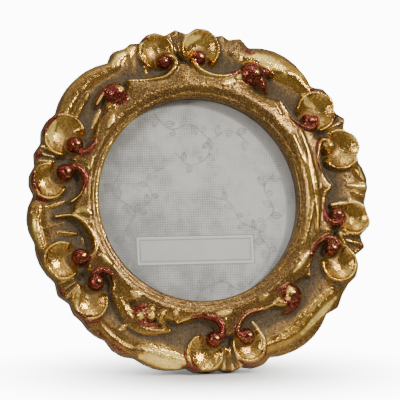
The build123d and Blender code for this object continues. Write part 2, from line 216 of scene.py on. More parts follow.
def gildingMaterial():
    g = gilding
    material, shader, point = newMaterial("antiqueGilding")
    gold, red, cavity = (attribute(shader, name) for name in ("gold", "red", "cavity"))
    patches, speckle, grains, dents = (
        noise(point, *g[name]) for name in ("patches", "speckle", "grains", "dents"))
    wear = swing(weighted((patches, speckle), g["wearMix"]), g["wear"])
    goldLevel = plus(gold, wear)
    # the gold level runs up to creamGold where glints, ball glints and bud spots are painted: painted
    # highlight
    goldTones = [g[name] for name in ("umber", "brownGold", "leafGold", "creamGold")]
    goldColour = ramp(goldLevel, g["goldStops"], goldTones)
    # dirt in the hollows together with painted shade: darker grime, less metal and more roughness where the
    # surface lies low
    dirtAndShade = grey(plus(cavity, swing(patches, g["patchyDirt"])), *g["dirtAndShade"])
    grimeAndShade = ramp(speckle, g["grimeAndShadeStops"], (g["hollowDark"], g["hollowGrey"]))
    dirtAndShadeCover = times(dirtAndShade, grey(grains, *g["dirtAndShadeOnGrains"]))
    boleColour = ramp(speckle, g["boleStops"], (g["bole"], g["boleLight"]))
    boleCover = grey(plus(red, times(wear, g["boleWear"])), *g["boleCover"])
    pits = times(grey(grains, *g["pits"]), g["pitCover"])
    # flecks: tiny specks of cream gold standing for sparkle, a painted highlight, fewer in dirt and painted
    # shade
    flecks = times(grey(grains, *g["flecks"]), grey(dirtAndShade, *g["flecksInDirtAndShade"]))
    colour = mixColour(dirtAndShadeCover, goldColour, grimeAndShade)
    colour = mixColour(boleCover, colour, boleColour)
    colour = mixColour(pits, colour, g["umber"])
    colour = mixColour(flecks, colour, g["creamGold"])
    # metal falls where the gold is cream, so the painted highlights stay bright
    metal = grey(dirtAndShade, *g["metalInDirtAndShade"])
    for driver, name in ((boleCover, "Bole"), (goldLevel, "Brown"), (goldLevel, "Cream")):
        metal = times(metal, grey(driver, *g["metalIn" + name]))
    rough = plus(grey(dirtAndShade, *g["roughness"]), swing(speckle, g["speckledShine"]))
    rough = maths("SUBTRACT", rough, times(gold, g["goldShine"]))
    plug(shader, {
        "Base Color": colour,
        "Metallic": metal,
        "Roughness": grey(rough, *g["roughnessLimits"]),
        "Specular IOR Level": grey(dirtAndShade, *g["specular"]),
        "Specular Tint": g["sheen"],
        "Coat Weight": g["coat"],
        "Coat Roughness": g["coatRoughness"],
    })
    bump(shader, weighted((dents, speckle, grains), g["dentMix"]), 1.0, g["dentDepth"])
    return material


# Relief of the surround, in millimetres on the face. A clock angle runs clockwise from the top,
# and a place on the face is (clock, radius).
surround = {
    "around": 1060, "across": 70,   # steps round the ring, and from the outline in to the sight edge
    "sight": 50.0, "rebate": 54.0, "rebateDepth": 6.7,
    "lipHeight": 12.0, "lipDrop": 0.8, "lipInset": 0.02, "lipFoot": 2.0,
    "bandTop": 14.3, "bandRadius": 56.0, "bandCurve": 1.6,
    "edgeHeight": 12.7, "edgeFall": 1.7,      # the band where it meets the stems, and its slope beyond
    "hollow": 9.0, "hollowWidth": 2.0,        # floor between the stems and the shells
    "apron": 9.6, "apronRadius": 76.0, "apronCurve": 1.7,    # carved surface further out
    "blend": 0.8, "ownShare": 0.6,            # of band and apron, and of a point in its softened height
    "rim": 6.4, "rimWidth": 1.2, "rimFall": 0.55,            # how fully the carving falls to the outline
    "edgeInset": 0.8, "edgeSide": 0.2, "edgeRound": 0.25,    # the back edge and its rounding
    "wallShares": (0.12, 0.4, 0.7, 0.9),      # heights of the rows up the outer wall
    "backShares": (0.33, 0.66),               # places of the rows over the back
    # how golden it is outside the band, on it, at the lip and on the back, and more on what stands out
    "fieldGold": 0.24, "bandGold": 0.18, "lipGold": 0.13, "backGold": 0.12, "crestGold": 0.25,
    "lipGoldRadius": 52.6,
    # dirt and painted shade where the surface is lower than round it, and in all that is deep
    "spreadRounds": 16, "hollowDepth": 1.7, "crestHeight": 1.5, "deepFrom": 11.6, "deepRange": 3.2,
    "deepDirtAndShade": ([71, 78], [0.75, 0.30]),     # radii, amounts
    "cleanRim": 3, "backDirt": 0.7, "rebateDirtAndShade": 0.5,
}

# The mouldings beside the opening: radius and height
mouldings = [
    (50, 12), (50.35, 12.8), (50.9, 13.25), (51.8, 13.45), (52.8, 13.4), (53.6, 13.65), (54.8, 14.15),
    (56, 14.3),
]

# Where the plain band ends
bandEdge = [
    (331.5, 66), (339.7, 63.1), (346.7, 62.2), (350, 63), (353, 66), (355.5, 67.5), (358, 66), (1, 64),
    (5.3, 62.9), (10, 62), (16.6, 63.6), (20, 66), (24, 63), (30, 61), (36, 61), (42.4, 64), (50.2, 62.7),
    (56, 63.8), (59.8, 66), (63, 68), (66.2, 67), (68.9, 65.7), (73.7, 63.5), (80.7, 63.9), (85.4, 66.5),
    (88.5, 63.2), (94, 62.9), (99.7, 64.3), (103, 67), (105, 68), (107, 66.5), (111.8, 62.1), (119.2, 62.1),
    (126, 64), (130, 62), (136.3, 60), (143.2, 62.2), (151.7, 61.9), (158.9, 60.4), (164.2, 62.5),
    (168, 66), (170.7, 68), (173.3, 63), (176, 58.6), (183.4, 57.5), (191.4, 60.9), (202, 61),
    (208.4, 59.1), (215, 60), (221.8, 62.5), (227.2, 61), (232.3, 58), (235.3, 60.5), (239.5, 66),
    (243.1, 62.7), (246.4, 57.4), (256.1, 56.7), (264.5, 62), (268, 61.5), (272.7, 58.2), (280.1, 57.1),
    (286.4, 61.9), (288.5, 65), (292.2, 63), (296.2, 58.3), (300.3, 58.7), (307.5, 60.8), (313, 61.5),
    (320, 60.7), (328, 62),
]

# Scrolls: path of the ridge from its tail, round the hollow, to its ball, then the ball (clock, radius,
# size, red) and how much of the ridge is red
scrolls = [
    ([(331.5, 67), (339.7, 63.1), (346.7, 62.2), (350.4, 64), (353, 67.3), (352.2, 70.7), (349.6, 71.6)],
     (348.3, 69.6, 2.9, 1), 0.35),
    ([(22.8, 70.5), (20.3, 67.2), (16.3, 63.6), (11.2, 62), (6.4, 62.5), (2.6, 64.6), (0.9, 68.1), (1.2, 71)],
     (3.2, 70.2, 3.1, 1), 0.3),
    ([(42.4, 64.6), (50.2, 62.7), (56, 63.8), (59.6, 66.9), (59.4, 70.4), (57.4, 71.9)],
     (56.6, 69.4, 3, 1), 0.75),
    ([(85.4, 67), (80.7, 63.9), (73.7, 63.5), (68.9, 65.7), (66.4, 68.8), (67.2, 72.2)],
     (69.3, 71.6, 3, 0.42), 0.6),
    ([(85.8, 66.8), (89, 63.4), (94, 62.9), (99.3, 64), (101.2, 67.6), (100.2, 71.3), (97.8, 72.3)],
     (97.2, 69.9, 3.1, 1), 0.9),
    ([(126, 65.8), (122.6, 63.2), (117.2, 61.9), (111.8, 62.6), (108.2, 65.8), (107.6, 69.6), (109.4, 72.6)],
     (111.4, 70.4, 3.2, 1), 0.95),
    ([(145.5, 62.6), (151.7, 61.9), (158.9, 60.4), (164.2, 62.5), (166.8, 67), (165.6, 70.6)],
     (163.4, 70.6, 3.4, 1), 0.7),
    ([(193.4, 61.9), (188, 58.8), (181.4, 57.6), (175.6, 59.2), (172.9, 63), (173.6, 67.4)],
     (176.9, 68.8, 3.3, 1), 0.9),
    ([(226, 61.4), (229.6, 59.3), (233, 58.6), (236.4, 61), (237, 64.6)], (233.4, 66.3, 3.4, 1), 0.85),
    ([(264.2, 72), (264.3, 67.8), (263.7, 63.8), (260.3, 59.4), (254.7, 56.9), (248.9, 56.5),
      (244.9, 58.6), (243.6, 62.4)],
     (245.8, 66, 3.6, 1), 0.4),
    ([(270, 63.4), (272.7, 59.6), (276.6, 57.6), (281.1, 57.4), (284.8, 60.2), (285.3, 64.4)],
     (282.3, 67.2, 3.5, 1), 0.85),
    ([(307.5, 60.8), (303.3, 59), (298.6, 58.2), (294.6, 59.2), (292, 62.4)], (294.8, 66.3, 3.4, 1), 0.85),
]
scroll = {
    "halfWidth": (0.55, 0.85), "widens": (0.25, 0.9),    # at the tail, added, and over which share
    "crest": (13.0, 1.5), "climbs": (0.1, 0.6),
    "crown": 0.9, "slope": 3.2, "blend": 0.35, "edge": (0.9, 1.5), "flank": (0.15, 0.7),
    "redFlank": (0.62, 0.6), "redTail": (0.3, 0.7), "reddens": (0.08, 0.45),
    "gold": 0.75, "flankGold": 0.4, "bright": 0.8,
    "ballScale": 1.2, "ballBase": 11.2,
    "ball": {"gold": 0.45, "bright": 1, "blend": 0.3, "edge": (0.85, 1.15)},
    "glint": (0.22, 0.05, 0.40, 0.30),                   # place and reach of the painted highlight on each ball, in sizes of the ball
    "glintRed": 0.30, "glintGold": 0.85,
}

# Cups, in the order of the balls that they open towards: place, size, rim height, share of the outer
# edge that is red
cups = [
    ((346.7, 75.5), 8.2, 11.6, 0.5), ((3.8, 74.8), 9, 12.6, 0), ((55.4, 75.3), 9.3, 12.4, 0.9),
    ((72.1, 76.8), 9.5, 12.4, 0.2), ((97.8, 78.6), 7.8, 12, 0.2), ((115.5, 76.8), 8.4, 12, 0.1),
    ((163.4, 74.9), 7.9, 11.2, 0.6), ((180.7, 75), 8.6, 11.4, 0.8), ((229.4, 74.6), 8.4, 11.6, 0.8),
    ((247.6, 75), 8.8, 12, 0.5), ((278, 74.6), 8.4, 11.8, 0.9), ((296.6, 73.2), 9.8, 12.2, 0.7),
]
cup = {
    "mouth": (-0.92, -0.5),      # cosines between which the wall rises
    "floor": 8.4, "curve": 2.2, "bowlDrop": 0.3,
    "bowlEdge": (-0.3, 0.5),     # past its size, in millimetres
    "flutes": 22, "fluteEdge": (0.3, 0.7), "fluteHeight": 0.08, "fluteGold": 0.05,
    "rimCrown": 0.2, "rimRound": 0.8, "rimHalf": 0.6, "rimInner": 0.9, "rimBlend": 0.3,
    "wallOut": 0.5, "wallDrop": 0.4, "wallSlope": 2.0,
    "gold": 0.46, "farGold": 0.22, "far": (0.0, 0.9), "bright": 0.55,
    "lipHalf": 0.65, "lipGold": 0.56, "lipGoldChange": 0.26, "lipBright": 0.8,
    "redOut": 1.4, "redFrom": (0.1, 0.7),
}

# Fans of ribs between the cups, and the knobs at their tips (clock, radius, red)
fan = {
    "axes": [355.6, 63.4, 106.2, 171.3, 238.4, 287.2],
    "tips": [
        (355.4, 79.6, 0.2), (63, 84, 0), (106.6, 84.6, 0.5), (171.6, 79.4, 0.1), (238, 82.6, 0.9),
        (286.8, 81.8, 0.9),
    ],
    "pole": 67.0,                # radius where the ribs meet
    "length": 18, "start": (4.5, 7.0), "halfAngle": (0.30, 0.44),
    "floor": 10.4, "fall": 0.12, "fallFrom": 8,
    "ribs": 24.0, "ribHeight": 0.7, "ribEdge": (0.3, 0.95), "gold": 0.20, "ribGold": 0.55,
    "hole": (3.6, 2.3, 2.2), "holeDepth": 3.8,           # place, half length and half width
    "tipSize": 2.3, "tipBase": 7.4,
    "tip": {"gold": 0.12, "bright": 0, "blend": 0.5, "edge": (1.5 / 2.3, 2.4 / 2.3)},
}

# Leaves and ridges: path, half width at start, middle and end, crest height at both ends, gold, red
outerLeaves = [
    ([(301, 76.6), (307.3, 78), (313.1, 79), (319.1, 78.8), (325, 77.6), (331, 76.6)],
     (4.6, 5.8, 3.6), (10.8, 10.6), 0.3),
    ([(21.5, 75), (26.9, 76.8), (31.7, 77.6), (36.5, 78.4), (42, 79.4), (48, 79.2)],
     (3.4, 6.2, 3.8), (11, 11.8), 0.62),
    ([(126, 80.2), (132.2, 78.8), (137.6, 78.9), (143.8, 79.9), (150, 79.6), (157.5, 78.6)],
     (2.6, 4.2, 3), (10.6, 9.6), 0.55),
    ([(205.6, 80), (199.6, 78.6), (194.6, 78.8), (188.4, 79)], (2.6, 4.6, 2.6), (9.8, 10.8), 0.85),
    ([(221.5, 78.6), (215.7, 80.4), (210, 81.2), (205, 81)], (2.4, 3.8, 2.8), (9.4, 9.6), 0.3, 0.3),
    ([(268.5, 79), (262.7, 81), (258.2, 80.6), (254, 80.6)], (2.2, 3.4, 2.4), (9.6, 9.6), 0.45),
]
ridges = [
    # broad leaf that curls over at the lower left
    ([(225.5, 61), (219.1, 65.2), (213.7, 68), (208.3, 69.8), (202.6, 69), (195.6, 66.2)],
     (2.4, 3.2, 0.9), (13, 12), 0.26),
    ([(205, 60.6), (200.6, 62.8), (197.2, 66)], (1.2, 1.8, 0.8), (13.4, 12.4), 0.3),
    # between the shells at the right
    ([(77.9, 80.6), (81.3, 82), (84.5, 84.6)], (1.4, 2.2, 1.6), (10.6, 9.2), 0.55),
    ([(85.6, 76.6), (86.2, 80.5), (86.4, 85)], (0.8, 2, 2.2), (10.8, 9.6), 0.72),
    ([(88.2, 78.6), (89, 82), (89.9, 85.2)], (1, 1.7, 1.4), (10.4, 9), 0.55),
    ([(90.6, 76.6), (91.6, 80), (92.4, 83.6)], (0.9, 1.3, 1), (10.8, 9), 0.6),
    ([(78.5, 72), (80.5, 75), (82, 78)], (1.2, 1.8, 1.2), (9.6, 9.8), 0.2),
    ([(121.5, 74), (124, 78), (125, 83)], (1.4, 1.8, 1.4), (9.8, 8.8), 0.35),
    ([(93.4, 67.4), (92.8, 70.5), (92.3, 74.4)], (0.9, 1.2, 0.8), (12.4, 11.6), 0.85),
    ([(91.9, 76.4), (92.2, 80), (93.4, 83)], (0.8, 1, 0.8), (11.4, 10), 0.9),
    ([(104.3, 72.6), (107.3, 75.1), (110.2, 79.9)], (0.9, 1.2, 0.8), (12.6, 11.4), 0.7),
    # beside the top shell
    ([(341.9, 76), (341.2, 71), (340.2, 66.4)], (1.2, 1.5, 1), (10.8, 10.4), 0.55),
    ([(336.8, 74.6), (336.4, 71.6), (335.4, 68.4)], (1.4, 1.7, 1), (10, 9.6), 0.25),
    ([(331.2, 77.6), (333.6, 79), (335.4, 79.6)], (2, 2.6, 1.8), (10.6, 9.6), 0.85),
    ([(337, 78.4), (338.2, 79.8), (339.6, 80.6)], (1.8, 2.3, 1.6), (9.8, 9), 0.7),
    ([(10.4, 76.4), (11.3, 79), (12, 81.4)], (1.6, 2.4, 2.2), (10, 8.6), 0.25),
    ([(16, 75.4), (17, 78.2), (17.6, 80.6)], (2, 2.8, 2.4), (10.2, 8.8), 0.16),
    ([(8.2, 68.4), (9.6, 67.6), (10.2, 69.2), (9, 70.2)], (0.6, 0.6, 0.4), (10.6, 10.6), 0.6),
    # beside the left shells
    ([(304, 71.6), (309.6, 73), (315, 74.2)], (1.2, 1.6, 1), (11.6, 11.4), 0.35),
    ([(268.4, 75.2), (269.2, 71), (270.2, 66.8)], (0.9, 1.3, 0.8), (10.4, 10.6), 0.7),
    ([(258.2, 71.6), (257, 67.8), (255.8, 63.4)], (1, 1.4, 0.8), (10.2, 11), 0.55),
    ([(260.6, 77), (261, 72.6), (261.6, 68.6)], (1, 1.5, 0.8), (9.8, 9.8), 0.3),
    ([(147.5, 73), (151.5, 72.6), (155.5, 72)], (1.2, 1.6, 1), (9.2, 9.4), 0.25),
    ([(158.6, 65.4), (157.6, 69.5), (157.6, 73.7), (159.4, 78)], (0.6, 0.9, 0.8), (10.6, 10.4), 0.85),
    ([(186.4, 71), (187.2, 74.2), (186.6, 78)], (0.8, 1.1, 0.8), (11.2, 10.4), 0.75),
    # prongs of the buds
    ([(313.6, 67.6), (317, 69.2), (320.6, 69.6)], (0.5, 1.2, 1.6), (13, 14), 0.2, 0.9),
    ([(326, 63), (325.6, 60.6), (322.6, 59.8)], (1.8, 1.5, 0.8), (14.2, 13.4), 0.3, 0.8),
    ([(28, 71.6), (30.8, 72.9), (33.2, 72.8)], (2.4, 1.9, 0.9), (14.8, 13.4), 0.15, 1),
    ([(28.6, 68), (31.6, 66.6), (34.4, 64)], (2.6, 2, 0.8), (14.8, 13.8), 0.35, 0.85),
    ([(21.2, 64.2), (22.8, 66.4)], (1.4, 1.8, 2.2), (14.2, 14.4), 0.9),
    ([(142.6, 57.9), (139.6, 59.4), (136.8, 61.2)], (0.6, 1.3, 2), (13.8, 14.6), 0.2, 1),
    ([(138.4, 68.6), (141.6, 69.8), (144.8, 69.2)], (2, 1.3, 0.5), (14, 13.2), 0.2, 1),
    ([(146.4, 62.6), (144.2, 63.6), (142.6, 65.6)], (1.2, 2, 1.6), (13.8, 14), 0.35, 0.1),
    ([(213.2, 64.8), (212.4, 62), (210, 60)], (1, 1.6, 1.4), (14, 14.2), 0.2, 0.9),
    ([(209, 67.6), (205.6, 67.2), (202, 65.6)], (1.2, 1.5, 0.8), (13.2, 12.6), 0.15, 1),
    ([(200, 57.4), (200.6, 59.6), (201.2, 61.8)], (0.8, 1.3, 0.8), (14.4, 13.8), 0.5),
]
leaf = {"crown": 1.1, "slope": 2.4, "blend": 0.45, "edge": (0.75, 1.25)}
outerLeaf = {**leaf, "crown": 2.2}

# Buds on the band: place, size, top, red, then their spots of painted highlight (place, size)
buds = [
    ((323.4, 65.4), 5.9, 16.2, 1, [((326.2, 65.6), 1.9)]),
    ((25.8, 68.6), 6.2, 16.6, 1, [((27.4, 69.6), 1.4)]),
    ((137.8, 64.8), 5.8, 15.6, 1, [((137.4, 62.7), 2.3), ((140.6, 64.6), 1.4)]),
    ((208.8, 63.4), 4, 14.6, 1, []), ((210.2, 65.3), 2.8, 15.2, 0.8, [((210.2, 65.4), 1.9)]),
    ((205.8, 62.6), 2.6, 15.3, 0.5, [((205.8, 62.6), 1.9)]),
    ((206.6, 59.8), 2.2, 15.3, 0.3, [((206.6, 59.8), 1.6)]),
    ((201.2, 59.6), 1.7, 15, 0.1, [((201.2, 59.6), 1.2)]),
    ((195.2, 57.6), 1.6, 15, 0, [((195.2, 57.6), 1.2)]),
]
bud = {"gold": 0.5, "bright": 1, "blend": 0.4, "edge": (0.8, 1.1), "spotLift": 0.3, "spotCover": 1.3}

# Low rounded swellings: place, size, top, gold
swellings = [((318.6, 61.6), 3.2, 13.6, 0.34), ((104.6, 66.2), 1.4, 13.6, 0.4), ((350.6, 66.6), 1, 11, 0.3)]
swelling = {"fall": 1.6, "blend": 0.6, "edge": (0.8, 1.2)}

# Glints, painted highlights in cream gold on small raised strokes: path, half width, lift, gold
glints = [
    ([(305.8, 62.5), (313.7, 64.8)], 1.3, 0.5, 1), ([(308.9, 56.6), (315.4, 58.7)], 1.4, 0.4, 1),
    ([(312.4, 73), (315.1, 74.5)], 1.3, 0.4, 0.9), ([(304, 77.3), (310.3, 77.7)], 1.7, 0.3, 0.9),
    ([(314.2, 67.9), (319.2, 69.4)], 0.9, 0.2, 1), ([(41.1, 62), (47, 59.9)], 0.8, 0.3, 0.8),
    ([(14.8, 58.3), (19, 62)], 1.4, 0.4, 0.9),
    ([(2.4, 64.6), (6.4, 62.6), (11.2, 61.9), (16.3, 63.4), (20, 67.2)], 0.5, 0.1, 1),
    ([(58, 57.4), (71.1, 56.2), (78.2, 56), (86, 56), (96, 55.9), (114, 55.8)], 1.9, 0.6, 0.8),
    ([(58, 62), (69, 59.9), (77.1, 58.9), (85.8, 58.6), (93.5, 59), (106, 60.6)], 2, 0.9, 0.72),
    ([(84, 62), (92, 61.2), (101, 62.4)], 1, 0.3, 0.5),
    ([(129.6, 58.2), (124, 59), (117.6, 60.2)], 1.6, 0.5, 1),
    ([(151.7, 56.9), (147.7, 57.3)], 1.4, 0.5, 0.9), ([(174.4, 57), (168, 57.4)], 1.4, 0.5, 1),
    ([(171, 60), (171, 63.5)], 0.9, 0.4, 0.6), ([(242.3, 57.4), (235.9, 55.4)], 1.6, 0.5, 1),
    ([(265, 64.1), (262.4, 60), (259, 56.6)], 1.5, 0.5, 1), ([(291.6, 56.4), (285.8, 56.2)], 1.3, 0.5, 0.9),
    ([(264.8, 62.9), (265.4, 59), (263.6, 55.4)], 2, 0.4, 1), ([(218.9, 57.9), (215, 57.3)], 1.9, 0.5, 1),
    ([(218.2, 62.1), (213.7, 65.6)], 0.8, 0.4, 1), ([(213.9, 75.3), (213.1, 72.2)], 1.4, 0.8, 1),
    ([(253.1, 61.4), (251.4, 61.2)], 0.9, 0.3, 0.8), ([(342.2, 75.4), (341.6, 69.4)], 0.9, 0.2, 0.9),
    ([(347.1, 79.6), (347.8, 74.8)], 1.2, 0.3, 0.8), ([(352.4, 78.6), (353, 74.6)], 0.9, 0.3, 0.9),
    ([(358.4, 76), (359.8, 79.2), (3.4, 81)], 3.2, 0, 1.1), ([(0, 73.4), (0.6, 76.4)], 1.6, 0, 0.9),
    ([(19.2, 76.4), (20.4, 76.2)], 1.2, 0.4, 0.9), ([(25, 78.4), (30, 78.2), (35.6, 79.4)], 5, 0, 1.2),
    ([(36.4, 76.8), (41.5, 82.4), (45, 83)], 2, 0.2, 0.85), ([(50.6, 79.6), (51.6, 73)], 1.5, 0, 0.9),
    ([(47.8, 75.6), (50.2, 75), (53.6, 76.6)], 3, 0, 1.1), ([(71, 80.6), (69.4, 77)], 1.8, 0, 0.55),
    ([(79.7, 84.4), (84, 85.2)], 1.7, 0.2, 1), ([(113.6, 76), (116.6, 79.6)], 2.2, 0, 0.65),
    ([(104.6, 73.1), (103, 79.8)], 0.9, 0.3, 1),
    ([(126.4, 83.4), (132.2, 82.4), (138.6, 82), (144, 82.6)], 2.6, 0.1, 1.1),
    ([(137.6, 79.4), (143, 80.6)], 1.8, 0.1, 0.6),
    ([(203.2, 82.4), (198.6, 81.8), (193.6, 82.2), (189.4, 82.4)], 2.8, 0.1, 1.15),
    ([(183.5, 76), (180.7, 81.6)], 2.4, 0, 0.75), ([(174.6, 73.4), (177, 80)], 0.9, 0.3, 0.95),
    ([(171.2, 72.3), (172, 78.2)], 0.8, 0.3, 0.8), ([(169.8, 72.7), (168.1, 77.3)], 0.8, 0.3, 0.8),
    ([(235, 75.1), (232.7, 79), (230.3, 81.6)], 2.2, 0, 1), ([(250.4, 79.4), (247.5, 76.4)], 2.6, 0, 0.75),
    ([(299.6, 79.8), (295.4, 79.4), (291.4, 77)], 3.2, 0, 1.1), ([(302.6, 78), (305.6, 74.4)], 1.6, 0, 0.6),
    ([(284.6, 75.4), (281.6, 79.4)], 1.4, 0, 0.85), ([(275, 76.6), (273.2, 70.6)], 1.2, 0, 0.75),
    ([(254.6, 82), (260, 82.2), (267, 82)], 2.2, 0.1, 0.95),
    ([(325, 51), (309.2, 51), (294.5, 51), (281.1, 51), (268, 51), (250, 51)], 0.9, 0.1, 0.9),
]
glint = {"gold": 0.86, "redUnderGlint": 0.8, "endWidth": 0.45, "broaden": 1.25, "edge": (0.2, 1.25)}
# Rubs where the red shows: path, half width, red
rubs = [
    ([(236.6, 84), (239.4, 83.2)], 1.8, 1), ([(285.2, 82.8), (288.3, 82.2)], 1.8, 1),
    ([(185.8, 79.4), (183.5, 83.2), (181.4, 85)], 1.2, 0.9),
    ([(230.1, 83), (227.1, 81.8), (225.4, 78.6)], 1.1, 0.9),
    ([(280.3, 83), (276.9, 82.3), (274.3, 78.5)], 1.5, 1),
    ([(293.8, 82.4), (297.6, 82.6), (301.4, 80.4)], 1.5, 0.95), ([(59.6, 83.4), (62, 80)], 1.3, 0.8),
    ([(20.4, 79.6), (24, 79.6)], 2.6, 0.62), ([(17.6, 65), (21, 66.8)], 1.6, 0.8),
    ([(219.9, 82), (214, 83.4), (208, 83.8)], 1.1, 0.7), ([(340, 82), (345, 83)], 1.2, 0.6),
]


def clockPoint(clock, radius):
    angle = np.radians(clock)
    return np.array([radius * np.sin(angle), radius * np.cos(angle)])


def smoothPath(path, step=0.6):
    points = np.array([clockPoint(*p) for p in path])
    ends = np.vstack([2 * points[0] - points[1], points, 2 * points[-1] - points[-2]])
    made = []
    for i in range(1, len(ends) - 2):
        p0, p1, p2, p3 = ends[i - 1:i + 3]
        count = max(2, int(np.linalg.norm(p2 - p1) / step))
        for t in np.arange(count) / count:
            bend = (2 * p0 - 5 * p1 + 4 * p2 - p3) * t * t + (3 * p1 - p0 - 3 * p2 + p3) * t ** 3
            made.append(0.5 * (2 * p1 + (p2 - p0) * t + bend))
    made.append(points[-1])
    return np.array(made)


def stepUp(value, low, high):
    t = np.clip((value - low) / (high - low), 0, 1)
    return t * t * (3 - 2 * t)


def fadeOut(distance, size, inner, outer):  # from full to none between two shares of the size
    return 1 - stepUp(distance, size * inner, size * outer)


def softMax(a, b, k):
    t = np.clip(0.5 + 0.5 * (a - b) / k, 0, 1)
    return b + (a - b) * t + k * t * (1 - t)


class Face:
    # Heights and finishes over the points of the face
    def __init__(self, x, y):
        self.x, self.y = x, y
        self.radius = np.hypot(x, y)
        self.clock = np.degrees(np.arctan2(x, y)) % 360
        self.height, self.gold, self.red, self.bright = (np.zeros_like(x) for _ in range(4))

    def near(self, points, reach):
        low, high = points.min(axis=0) - reach, points.max(axis=0) + reach
        return np.where((self.x > low[0]) & (self.x < high[0]) & (self.y > low[1]) & (self.y < high[1]))

    def alongPath(self, path, reach):  # distance to a path and share of its length, near it
        where = self.near(path, reach)
        x, y = self.x[where], self.y[where]
        distance = np.full(x.shape, 1e9)
        share = np.zeros(x.shape)
        last = len(path) - 1
        for i in range(last):
            a, ab = path[i], path[i + 1] - path[i]
            t = np.clip(((x - a[0]) * ab[0] + (y - a[1]) * ab[1]) / max(ab @ ab, 1e-9), 0, 1)
            d = np.hypot(x - a[0] - ab[0] * t, y - a[1] - ab[1] * t)
            closer = d < distance
            distance = np.where(closer, d, distance)
            share = np.where(closer, (i + t) / last, share)
        return where, distance, share

    def around(self, place, reach):
        centre = clockPoint(*place)
        where = self.near(np.array([centre, centre]), reach)
        dx, dy = self.x[where] - centre[0], self.y[where] - centre[1]
        return where, np.hypot(dx, dy), dx, dy

    def raiseTo(self, where, height, blend):
        self.height[where] = softMax(self.height[where], height, blend)

    def raiseRidge(self, where, d, width, crest, shape):  # gives how fully it covers what was there
        top = crest - shape["crown"] * (d / width) ** 2
        flank = crest - shape["crown"] - shape["slope"] * (d - width)
        self.raiseTo(where, np.where(d < width, top, flank), shape["blend"])
        inner, outer = shape["edge"]
        return 1 - stepUp(d, width * inner, width * outer + 0.2)

    def atLeast(self, layer, where, level):
        layer[where] = np.maximum(layer[where], level)

    def cover(self, layer, where, level, cover):
        layer[where] = layer[where] * (1 - cover) + level * cover

    def finish(self, where, cover, gold, red, bright=0):
        self.cover(self.gold, where, gold, cover)
        self.cover(self.red, where, red, cover)
        self.atLeast(self.bright, where, cover * bright)

    def addKnob(self, place, size, base, red, shape):
        where, d, dx, dy = self.around(place, size + 1)
        dome = base + np.sqrt(np.maximum(size ** 2 - d ** 2, 0))
        self.raiseTo(where, np.where(d < size, dome, 0), shape["blend"])
        cover = fadeOut(d, size, *shape["edge"])
        self.finish(where, cover, shape["gold"], red, shape["bright"])
        return where, cover, dx, dy


def carveBase(face, outlineRadius):
    r, clock, s = face.radius, face.clock, surround
    edges = sorted(bandEdge)
    edge = np.interp(clock, [e[0] for e in edges], [e[1] for e in edges], period=360)
    inner = np.interp(r, [m[0] for m in mouldings], [m[1] for m in mouldings])
    fall = np.clip((r - s["bandRadius"]) / np.maximum(edge - s["bandRadius"], 1.2), 0, 1)
    band = inner + (s["edgeHeight"] - s["bandTop"]) * fall ** s["bandCurve"]
    band = band - np.maximum(r - edge, 0) * s["edgeFall"]
    out = np.clip((r - s["apronRadius"]) / np.maximum(outlineRadius - s["apronRadius"], 2), 0, 1)
    climb = stepUp(r, edge + s["hollowWidth"], s["apronRadius"])
    apron = s["hollow"] + (s["apron"] - s["hollow"]) * climb
    apron = apron + (s["rim"] - s["apron"]) * out ** s["apronCurve"]
    face.height = softMax(band, apron, s["blend"])
    face.gold = np.where(r > edge + 0.6, s["fieldGold"], s["bandGold"])
    face.gold = np.where(r < s["lipGoldRadius"], s["lipGold"], face.gold)


def carveRidge(face, shape, path, widths, crests, goldLevel, redLevel=0):
    where, d, share = face.alongPath(smoothPath(path), max(widths) + 4)
    width = np.interp(share, [0, 0.5, 1], widths)
    cover = face.raiseRidge(where, d, width, crests[0] + (crests[1] - crests[0]) * share, shape)
    face.finish(where, cover, goldLevel, redLevel, goldLevel)


def carveFans(face):
    f = fan
    for axis in f["axes"]:
        pole, outward = clockPoint(axis, f["pole"]), clockPoint(axis, 1.0)
        across = np.array([outward[1], -outward[0]])
        where = face.near(np.array([pole, pole + outward * f["length"]]), f["length"] / 2)
        dx, dy = face.x[where] - pole[0], face.y[where] - pole[1]
        along, side = dx * outward[0] + dy * outward[1], dx * across[0] + dy * across[1]
        angle, reach = np.arctan2(side, np.maximum(along, 0.1)), np.hypot(dx, dy)
        wedge = (1 - stepUp(np.abs(angle), *f["halfAngle"])) * stepUp(reach, *f["start"]) * (along > 0)
        ribs = np.cos(angle * f["ribs"])
        height = f["floor"] - f["fall"] * (reach - f["fallFrom"]) + f["ribHeight"] * ribs
        face.cover(face.height, where, height, wedge)
        face.cover(face.gold, where, f["gold"] + f["ribGold"] * stepUp(ribs, *f["ribEdge"]), wedge)
        place, halfLength, halfWidth = f["hole"]
        hole = np.exp(-(((along - place) / halfLength) ** 2 + (side / halfWidth) ** 2))
        face.height[where] -= f["holeDepth"] * hole
    for clock, radius, redLevel in f["tips"]:
        face.addKnob((clock, radius), f["tipSize"], f["tipBase"], redLevel, f["tip"])


